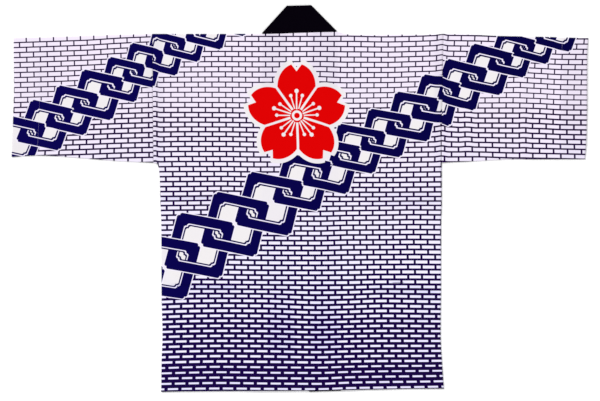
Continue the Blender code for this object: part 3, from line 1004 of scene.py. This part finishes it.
def stitching(name, line, facing, thread):
    """A row of stitches along a line of points (n, 3), in mm, each a thread that dips in at both ends: a
    stretched octahedron, whose six corners are its middle plus or minus its half length along the line,
    its half width aside and its rise along the facing."""
    facing = np.broadcast_to(facing, line.shape)
    travel = np.concatenate([[0], np.cumsum(np.linalg.norm(np.diff(line, axis=0), axis=1))])
    count = int(travel[-1] / STITCH_STEP)
    spots = (np.arange(count) + 0.5) * travel[-1] / count
    middle, out = (
        np.stack([np.interp(spots, travel, values[:, axis]) for axis in range(3)], axis=1)
        for values in (line, facing)
    )
    ahead = np.gradient(middle, axis=0)
    ahead /= np.linalg.norm(ahead, axis=1)[:, None]
    aside = np.cross(out, ahead)
    half_length, half_width, proud = STITCH_SIZE
    corners = (ahead * half_length, aside * half_width, -ahead * half_length, -aside * half_width)
    dipped = [middle + corner - out * STITCH_SINK for corner in corners]
    points = np.stack([*dipped, middle + out * proud, middle - out * 2 * STITCH_SINK], axis=1)
    triangles = [(0, 1, 4), (1, 2, 4), (2, 3, 4), (3, 0, 4), (1, 0, 5), (2, 1, 5), (3, 2, 5), (0, 3, 5)]
    faces = np.array(triangles)[None] + points.shape[1] * np.arange(count)[:, None, None]
    row = new_mesh(name, points, faces.reshape(-1, 3), [thread])
    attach(row, "root")
    return row


PLY = 0.5  # mm from stripe to stripe
PLY_RELIEF = (0.4, 0.08)
PLY_SMOOTHS = 0.1
THREAD_ROUGHNESS = 0.8


def twisted_thread(name, light, dark):
    """Sewing thread: two plies that wind round each other, as slanted stripes of painted highlight and shade.
    """
    finish, tree, shader = new_finish(name, Specular_IOR_Level=0.1)
    place = tree.nodes.new("ShaderNodeTexCoord")
    split = tree.nodes.new("ShaderNodeSeparateXYZ")
    tree.links.new(place.outputs["Object"], split.inputs[0])
    across, up = (Amount(tree, split.outputs[axis]) for axis in range(2))
    ply = ((across + up) * (2 * math.pi / (PLY * MM))).then("SINE") * 0.5 + 0.5
    roughened(tree, shader, blend_of(tree, ply, dark, light), ply, PLY_RELIEF)
    tree.links.new((ply * -PLY_SMOOTHS + THREAD_ROUGHNESS).socket, shader.inputs["Roughness"])
    return finish


BODY_LOW, BODY_HIGH = LEFT_SIDE[0][0], LEFT_SIDE[-1][0]
UNDERARM = (79.4, 80.6)  # y of the rows at the corner between the side seam and the armhole
CREASE_ROWS = (145.5, 143, 148, 1.5, -1, 4, -9, 9, -195, -198, -192)  # y of rows that follow a crease
BACK_COLUMNS, BACK_ROWS = 124, 288


def shares_at(*rows):
    """Shares of the body's height at which these y lie."""
    return [(y - BODY_LOW) / (BODY_HIGH - BODY_LOW) for y in rows]


u, v = shares(BACK_COLUMNS), shares(BACK_ROWS, *shares_at(*UNDERARM, *CREASE_ROWS))
left, right = edge_up(LEFT_SIDE, v), edge_up(RIGHT_SIDE, v)
bottom, top = edge_across(HEM, u), edge_across(SHOULDER, u)
flat = coons(left, right, bottom, top, u, v)
x, y = flat[..., 0], flat[..., 1]
z = back_height(x, y, left[:, None, 0], right[:, None, 0], bottom[None, :, 1], top[None, :, 1])
BANDS_SHOW = (  # (y, how strongly the bands below show through)
    (-432, 0.8),
    (-350, 1.0),
    (-320, 1.7),
    (-275, 1.5),
    (-235, 0.8),
    (-150, 0.45),
    (60, 0.4),
    (300, 1.0),
    (374, 1.0),
)
BANDS_EDGE = 9.0  # over which their shade fades
over_left_band = between(x, band_edge(LEFT_SEWN)(y), band_edge(LEFT_FREE)(y), BANDS_EDGE)
over_right_band = between(x, band_edge(RIGHT_FREE)(y), band_edge(RIGHT_SEWN)(y), BANDS_EDGE)
seen_through_and_shade = np.maximum(over_left_band, over_right_band) * along(BANDS_SHOW)(y)
# Painted shade along the creases, added on top of what shows through.
seen_through_and_shade = np.maximum(seen_through_and_shade, darker_boxes(x, y, BODY_LAYERS_AND_SEAM_SHADE)) + painted_crease_shade(x, y)
back_points = np.stack([x, y, z], axis=-1)
back = cloth_piece("back_cloth", back_points, body_marks(x, y, seen_through_and_shade), [back_finish, body_wrong_side])
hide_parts("back")

# Painted highlight and painted shade of one navy thread, for its two plies.
HEM_THREAD = twisted_thread("navy thread", linear(70, 62, 128), linear(24, 16, 80))
HEM_TURNED_UP = 55.0
HEM_STITCHED = (-306.0, 315.0)  # x of the first and the last stitch
HEM_SPOTS = 300  # at which the line of stitches is worked out
stitch_x = np.linspace(*HEM_STITCHED, HEM_SPOTS)
stitch_y = along(HEM)(stitch_x) + HEM_TURNED_UP
sides = along(LEFT_SIDE)(stitch_y), along(RIGHT_SIDE)(stitch_y)
stitch_z = back_height(stitch_x, stitch_y, *sides, along(HEM)(stitch_x), BODY_HIGH) + CLOTH / 2
hem_line = np.stack([stitch_x, stitch_y, stitch_z], axis=1)
hem_stitches = stitching("hem_stitching", hem_line, UPWARD, HEM_THREAD)

# The fronts. Two narrow printed cloths under the back, from the side seams to the bands, that lie on the
# table with their right side down.
FRONT_GAP = 0.3  # to the band that it is sewn to
FRONT_HEIGHT = 0.55
FRONT_COLUMNS, FRONT_ROWS = 44, 134
FRONT_INSET = 4.0  # from the panel's edges to the first and the last stitch
FRONT_SPOTS = 120  # at which that line of stitches is worked out


def front(name, node, side_table, sewn_column, outward, neck_x):
    """A panel between a side seam and the sewn edge of a band, flat on the table. Its columns run from right
    to left, so that its right side faces down. Outward is 1 where the side seam lies towards +X, and -1 on
    the other front. Its sewn edge ends at the shoulder near neck_x."""
    u, v = shares(FRONT_COLUMNS), shares(FRONT_ROWS, *shares_at(*UNDERARM))
    outer = edge_up(side_table, v)
    sewn_x = band_edge(sewn_column)
    hem_x = float(sewn_x(HEM[0][1])) + outward * FRONT_GAP
    low, high = float(along(HEM)(hem_x)), float(along(SHOULDER)(neck_x))
    sewn_y = low + (high - low) * v
    sewn = np.stack([sewn_x(sewn_y) + outward * FRONT_GAP, sewn_y], axis=1)
    left, right = (sewn, outer) if outward > 0 else (outer, sewn)
    bottom = edge_across(HEM, u, left[0, 0], right[0, 0])
    top = edge_across(SHOULDER, u, left[-1, 0], right[-1, 0])
    flat = coons(left, right, bottom, top, u, v)[:, ::-1]
    x, y = flat[..., 0], flat[..., 1]
    points = np.stack([x, y, np.full_like(x, FRONT_HEIGHT)], axis=-1)
    piece = cloth_piece(name, points, body_marks(x, y, x * 0), [body_finish, body_wrong_side])
    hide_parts(node)

    inset = outward * FRONT_INSET
    stitch_x = np.linspace(sewn[0, 0] + inset, outer[0, 0] - inset, FRONT_SPOTS)
    stitch_y = along(HEM)(stitch_x) + HEM_TURNED_UP
    hem_line = np.stack([stitch_x, stitch_y, np.full_like(stitch_x, FRONT_HEIGHT - CLOTH / 2)], axis=1)
    label = name.replace("cloth", "hem_stitching")
    stitches = stitching(label, hem_line, -UPWARD, HEM_THREAD)


front("front_cloth_left", "front_left", LEFT_SIDE, LEFT_SEWN, -1, -83.8)
front("front_cloth_right", "front_right", RIGHT_SIDE, RIGHT_SEWN, 1, 81.6)

# The sleeves. Each is one printed cloth, folded at the top, seamed below and at the armhole, and open at
# the cuff, where it is turned in and stitched.
SLEEVE_FOLD = 0.75  # radius of the middle of the cloth round its fold and its seam
# Edges of the sleeves: a cuff is (y, x) upwards, a top or a bottom is (x, y) from left to right.
LEFT_CUFF = ((93.3, -644.2), (182.5, -640.6), (251.8, -638.6), (358.6, -639.7))
LEFT_TOP = ((-639.7, 358.6), (-587.8, 360.0), (-499.5, 363.0), (-412.0, 366.0), (-329.8, 368.0))
LEFT_BOTTOM = ((-644.2, 93.3), (-585.6, 96.6), (-500.6, 91.9), (-412.0, 84.6), (-327.5, 80.6))
RIGHT_CUFF = ((88.4, 637.0), (144.5, 640.1), (218.3, 641.4), (315.7, 641.4), (358.6, 644.2))
RIGHT_TOP = ((320.6, 368.0), (386.0, 366.2), (440.0, 363.6), (525.0, 362.0), (644.2, 358.6))
RIGHT_BOTTOM = ((316.6, 80.6), (384.0, 83.6), (469.0, 88.0), (534.0, 88.2), (637.0, 88.4))
LEFT_LAY = (
    (-644, -540, -481, -402, -331),
    (
        (91, 9.0, 6.0, 5.5, 4.0, 2.0),
        (150, 3.0, 2.5, 4.0, 3.0, 3.0),
        (220, -1.5, -0.5, 0.5, 1.5, 4.0),
        (290, 0.0, 0.0, 1.5, 3.0, 6.0),
        (364, 2.5, 2.5, 3.5, 5.5, 8.5),
    ),
    (
        (91, 2.5, -1.5, -3.0, -6.0, -7.5),
        (187, 5.0, 1.5, -1.0, -4.0, -6.5),
        (276, 5.5, 2.5, 0.0, -3.5, -7.0),
        (364, 6.0, 2.5, 0.5, -4.5, -7.5),
    ),
)
RIGHT_LAY = (
    (318, 391, 469, 530, 590, 644),
    (
        (91, 13.5, 12.0, 13.0, 14.5, 12.5, 12.0),
        (150, 12.5, 14.0, 14.0, 15.5, 15.0, 13.0),
        (220, 13.5, 15.0, 13.0, 13.0, 14.5, 14.0),
        (290, 9.5, 11.5, 10.5, 10.5, 12.0, 11.5),
        (364, 5.0, 6.5, 6.5, 7.0, 6.5, 5.5),
    ),
    (
        (91, 3.0, 2.5, 5.0, 6.0, 7.0, 8.5),
        (187, 2.0, 6.0, 6.0, 7.0, 10.0, 10.5),
        (276, 3.0, 5.0, 4.0, 7.0, 10.0, 10.5),
        (364, 0.5, 1.5, 5.0, 7.5, 8.5, 8.5),
    ),
)
LEFT_CHAIN = (
    ((-565.6, 165.4), (48.53, -12.83), (14.67, 47.47)),
    (0.9318, 0.9468, 0.966),
    (0.322, 0.334, 3.0),
    (
        NOT_PRINTED,
        (-0.1, 2.4, 0.97, 0.96),
        (-0.8, 0.5, 1.02, 0.99),
        (-1.9, -0.7, 1.01, 1.01),
        (-1.5, 0.0, 1.05, 1.06),
        (0.2, 1.1, 0.97, 0.97),
        (-0.2, -0.1, 1.03, 1.00),
        (0.5, -1.3, 1.02, 1.02),
    ),
)
RIGHT_CHAIN = (
    ((368.9, 258.3), (48.48, -10.52), (13.30, 47.47)),
    (0.9308, 0.9356, 0.952),
    (0.312, 0.341, 3.0),
    (
        EVEN,
        (3.2, 1.5, 1.00, 0.97),
        (1.9, 0.2, 0.99, 0.99),
        (1.1, -0.4, 1.04, 1.03),
        (1.0, 0.9, 0.97, 1.00),
        (-0.3, 0.5, 0.99, 1.00),
        (-0.4, -2.0, 1.05, 1.00),
    ),
)
SLEEVE_COLUMNS = 80
LAYER_ROWS, FOLD_ROWS = 70, 8  # of each of the tube's two layers, and of the turn between them


def way_round(layer_rows, fold_rows):
    """The way round a flattened tube, as share from the seam to the fold, level and bend: up the upper
    layer at level 1, half a turn round the fold, down the lower layer at level 0, half a turn round the
    seam. Bend is how far out round the fold a spot lies, and below 0 at the seam."""
    climb = np.linspace(0, 1, layer_rows)
    half_turn = np.linspace(0, math.pi, fold_rows + 2)[1:-1]
    lay = np.concatenate([climb, np.ones(fold_rows), climb[::-1], np.zeros(fold_rows)])
    fold_level = (1 + np.cos(half_turn)) / 2
    level = np.concatenate([np.ones(layer_rows), fold_level, np.zeros(layer_rows), 1 - fold_level])
    bend = np.concatenate([climb * 0, np.sin(half_turn), climb * 0, -np.sin(half_turn)])
    return lay, level, bend


LEFT_SLEEVE_LAYERS = (
    (-650, -587, 60, 380, 6, 0.3),
    (-600, -540, 225, 350, 30, 0.45),
    (-345, -327, 60, 380, 8, 0.5),
)
RIGHT_SLEEVE_LAYERS = (
    (586, 650, 60, 380, 6, 0.75),
    (500, 512, 60, 380, 14, 0.5),
    (377, 396, 60, 380, 18, 0.25),
    (316, 334, 60, 380, 8, 0.8),
)
# Painted highlight and painted shade of one lavender thread.
CUFF_THREAD = twisted_thread("lavender thread", linear(204, 194, 236), linear(150, 138, 200))
CUFF_TURNED_IN = along(((90, 57.0), (220, 57.4), (360, 57.2)))
CUFF_INSET = 5.0  # from the sleeve's edges to the first and the last stitch of the cuff
CUFF_SPOTS = 200  # at which that line of stitches is worked out
ARMHOLE_GAP = 0.1  # to the back, which the sleeve is sewn to


def sleeve(name, node, outward, edges, lay_and_lifts, links, layers):
    """A square tube laid flat: on the sheet between its four edges, the way round gives the height. Outward
    is 1 where the cuff lies towards +X, and -1 on the other sleeve."""
    cuff, top_table, bottom_table, side_table = edges
    u = shares(SLEEVE_COLUMNS)
    top, bottom = edge_across(top_table, u), edge_across(bottom_table, u)
    lay, level, bend = way_round(LAYER_ROWS, FOLD_ROWS)
    arm = 0 if outward > 0 else -1
    arm_y = bottom[arm, 1] + (top[arm, 1] - bottom[arm, 1]) * lay
    armhole_x = along(side_table)
    armhole = np.stack([armhole_x(arm_y) + outward * ARMHOLE_GAP, arm_y], axis=1)
    opening = edge_up(cuff, lay)
    left, right = (armhole, opening) if outward > 0 else (opening, armhole)
    flat = coons(left, right, bottom, top, u, lay)
    length = np.linalg.norm(top - bottom, axis=-1)
    upward = (top - bottom) / length[:, None]
    draw_in = SLEEVE_FOLD + CLOTH / 2
    shift = draw_in * (1 - 2 * lay) + bend * SLEEVE_FOLD
    spot = flat + upward * shift[:, None, None]
    x, y = spot[..., 0], spot[..., 1]
    lay, level = lay[:, None], level[:, None]
    clear = risen(lay * length) * risen((1 - lay) * length) * risen(abs(x - armhole_x(y)))
    lifted = RESTING - PRESSED + uneven(x, y)
    z = LOWEST + (PRESSED - LOWEST) * level + (level == 1.0) * clear * lifted
    printed = print_marks(x, y, *lay_and_lifts)
    marks = {"print": printed, "chain": link_marks(printed, links), "seen_through_and_shade": darker_boxes(x, y, layers)}
    chains = [(chain_of_links("chain " + name, links), "chain")]
    right_side = printed_cotton("printed cotton " + name, chains)
    wrong_side = printed_cotton("printed cotton wrong side " + name, chains, strength=WRONG_SIDE)
    piece = cloth_piece(name, np.stack([x, y, z], axis=-1), marks, [right_side, wrong_side], closed=True)
    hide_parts(node)

    stitch_y = np.linspace(cuff[0][0] + CUFF_INSET, cuff[-1][0] - CUFF_INSET, CUFF_SPOTS)
    stitch_x = along(cuff)(stitch_y) - outward * CUFF_TURNED_IN(stitch_y)
    from_seam, from_fold = stitch_y - along(bottom_table)(stitch_x), along(top_table)(stitch_x) - stitch_y
    lifted = RESTING - PRESSED + uneven(stitch_x, stitch_y)
    upper_z = PRESSED + risen(from_seam) * risen(from_fold) * lifted + CLOTH / 2
    lower_z = np.full_like(stitch_x, LOWEST - CLOTH / 2)
    for label, stitch_z, facing in (("upper", upper_z, UPWARD), ("lower", lower_z, -UPWARD)):
        line = np.stack([stitch_x, stitch_y, stitch_z], axis=1)
        stitching(f"{name}_stitching_{label}", line, facing, CUFF_THREAD)


LEFT_EDGES = (LEFT_CUFF, LEFT_TOP, LEFT_BOTTOM, LEFT_SIDE)
RIGHT_EDGES = (RIGHT_CUFF, RIGHT_TOP, RIGHT_BOTTOM, RIGHT_SIDE)
LEFT_PRINT, RIGHT_PRINT = (LEFT_LAY, LEFT_LIFTS), (RIGHT_LAY, RIGHT_LIFTS)
sleeve("sleeve_cloth_left", "sleeve_left", -1, LEFT_EDGES, LEFT_PRINT, LEFT_CHAIN, LEFT_SLEEVE_LAYERS)
sleeve("sleeve_cloth_right", "sleeve_right", 1, RIGHT_EDGES, RIGHT_PRINT, RIGHT_CHAIN, RIGHT_SLEEVE_LAYERS)

# The collar. One black cotton strip, folded double along its length, that runs up one front, folds over at
# the neck, lies along the back of the neck and runs down the other front.
BAND_LOW = 1.37  # middle of the strip on the table
BAND_FOLD = 1.35  # radius of its middle where it folds over
BAND_HALF = 0.8  # from its middle to the middle of each of its two layers
BAND_CLOTH = 0.7
NECK_LEFT, NECK_RIGHT = (-86.0, 368.6), (83.4, 373.2)
TOP_LEFT, TOP_RIGHT = (-29.8, 430.9), (25.4, 432.2)
BAND_OUTSIDE = 2.55  # from the fold's middle line to its outside
NECK_LIFT = 0.5  # how much the fold rises towards the collar's top at its sewn edge
LEFT_END, RIGHT_END = (-429.0, -428.6), (-429.0, -431.2)  # y of the sewn and the free corner at the hem
UP_SECTIONS, LEAN_SECTIONS, TURN_SECTIONS, NECK_SECTIONS = 96, 12, 13, 28  # up a front to behind the neck
LEAN_SOFT = 0.4  # share of its turn towards the fold that starts and ends gently


def fold_line(neck, top):
    """The slanted line that the strip folds over on, as its sewn and its free end, and how far aside the
    middle of the fold bulges."""
    neck, top = np.array(neck), np.array(top)
    lean = (top - neck)[1] / np.linalg.norm(top - neck)
    inwards = -math.copysign(1.0, neck[0])
    draw_in = np.array([inwards * BAND_OUTSIDE / lean, 0.0])
    return neck + draw_in, top + draw_in, -inwards * BAND_FOLD / lean


def strip_sections(neck, top, sewn_column, free_column, ends):
    """The sewn and the free edge, as points (n, 3), of one front's stretch and of the fold at its neck."""
    share = np.linspace(0, 1, UP_SECTIONS)
    straight = []
    for column, end in zip((sewn_column, free_column), ends):
        y = end + (BAND_EDGES[-1][0] - end) * share
        straight.append(np.stack([band_edge(column)(y), y], axis=1))
    fold_sewn, fold_free, bulge = fold_line(neck, top)
    share = np.linspace(0, 1, LEAN_SECTIONS + 1)[1:, None]
    lean = soft_step(share) * LEAN_SOFT + share * (1 - LEAN_SOFT)
    ends = zip(straight, (fold_sewn, fold_free))
    sewn, free = (np.vstack([edge, edge[-1] + (fold - edge[-1]) * lean]) for edge, fold in ends)
    half_turn = np.linspace(0, math.pi, TURN_SECTIONS + 2)[1:-1]
    aside = np.stack([bulge * np.sin(half_turn), 0 * half_turn], axis=1)
    lift = np.stack([0 * half_turn, NECK_LIFT * np.sin(half_turn)], axis=1)
    height = np.concatenate([np.full(len(sewn), BAND_LOW), BAND_LOW + BAND_FOLD * (1 - np.cos(half_turn))])
    sewn, free = np.vstack([sewn, fold_sewn + aside + lift]), np.vstack([free, fold_free + aside])
    return np.column_stack([sewn, height]), np.column_stack([free, height])


def neck_sections(left, right):
    """The edge along the back of the neck, straight from one fold to the other on top of them."""
    share = np.linspace(0, 1, NECK_SECTIONS)[:, None]
    return np.column_stack([left + (right - left) * share, np.full(NECK_SECTIONS, BAND_LOW + 2 * BAND_FOLD)])


left_fold, right_fold = fold_line(NECK_LEFT, TOP_LEFT), fold_line(NECK_RIGHT, TOP_RIGHT)
left_edges = strip_sections(NECK_LEFT, TOP_LEFT, LEFT_SEWN, LEFT_FREE, LEFT_END)
right_edges = strip_sections(NECK_RIGHT, TOP_RIGHT, RIGHT_SEWN, RIGHT_FREE, RIGHT_END)
sewn, free = (
    np.vstack([left_edges[side], neck_sections(left_fold[side], right_fold[side]), right_edges[side][::-1]])
    for side in range(2)
)
centre_line = (sewn + free) / 2
strip_length = np.concatenate([[0], np.cumsum(np.linalg.norm(np.diff(centre_line[:, :2], axis=0), axis=1))])

# The folded strip's own way round: its outer layer, the turn at its free edge, its inner layer, and the turn
# at its sewn edge.
BAND_ROWS, EDGE_ROWS = 14, 5
band_lay, band_level, band_bend = way_round(BAND_ROWS, EDGE_ROWS)
outward = free - sewn
width = np.linalg.norm(outward, axis=1)
outward = outward / width[:, None]
facing = np.cross(outward, np.gradient(centre_line, axis=0))
facing /= np.linalg.norm(facing, axis=1)[:, None]
points = sewn + (free - sewn) * band_lay[:, None, None]
edge_inset = (1 - 2 * band_lay) * (BAND_HALF + BAND_CLOTH / 2) + band_bend * BAND_HALF
points = points + outward * edge_inset[:, None, None]
points = points + facing * ((2 * band_level - 1) * BAND_HALF)[:, None, None]

THREAD_BLACK = linear(9, 4, 15)
BLACK = linear(3, 0, 7)
SHADE_IN_BLACK, CROWN_HIGHLIGHT_IN_BLACK = 3.0, 0.25  # how much the slubs' own tone, and a painted highlight on the crowns of the threads, lighten it
collar_finish, tree, shader = new_finish("black cotton", Roughness=0.9, Specular_IOR_Level=0.02)
across, up, _ = mark(tree, "print")
height_of_weave, shade, _ = put(tree, weave, across=across, up=up)
# Painted highlight: the crowns of the weave are lighter, on top of the slubs' own tone.
tone_and_crown_highlight = larger(shade * SHADE_IN_BLACK + height_of_weave * CROWN_HIGHLIGHT_IN_BLACK, 0.0)
colour = blend_of(tree, tone_and_crown_highlight, BLACK, THREAD_BLACK)
roughened(tree, shader, colour, height_of_weave, THREAD_RELIEF)

INNER_LAYER_AWAY = 200.0  # in the weave, so that the layers' threads differ
weave_across = band_lay[:, None] * width + (band_level[:, None] < 0.5) * INNER_LAYER_AWAY
strip_spot = np.stack([strip_length + 0 * weave_across, weave_across, 0 * weave_across], axis=-1)
marks = {"print": strip_spot}
collar = cloth_piece("collar_band", points, marks, [collar_finish], closed=True, wall=BAND_CLOTH)
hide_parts("collar")

# Painted highlight and painted shade of one black thread.
BLACK_THREAD = twisted_thread("black thread", linear(30, 24, 38), linear(6, 2, 10))
TOPSTITCH = 0.05  # share of the band's width from its sewn edge
seam_line = sewn + (free - sewn) * TOPSTITCH
for label, side in (("outer", facing), ("inner", -facing)):
    line = seam_line + side * (BAND_HALF + BAND_CLOTH / 2)
    stitching(f"collar_stitching_{label}", line, side, BLACK_THREAD)
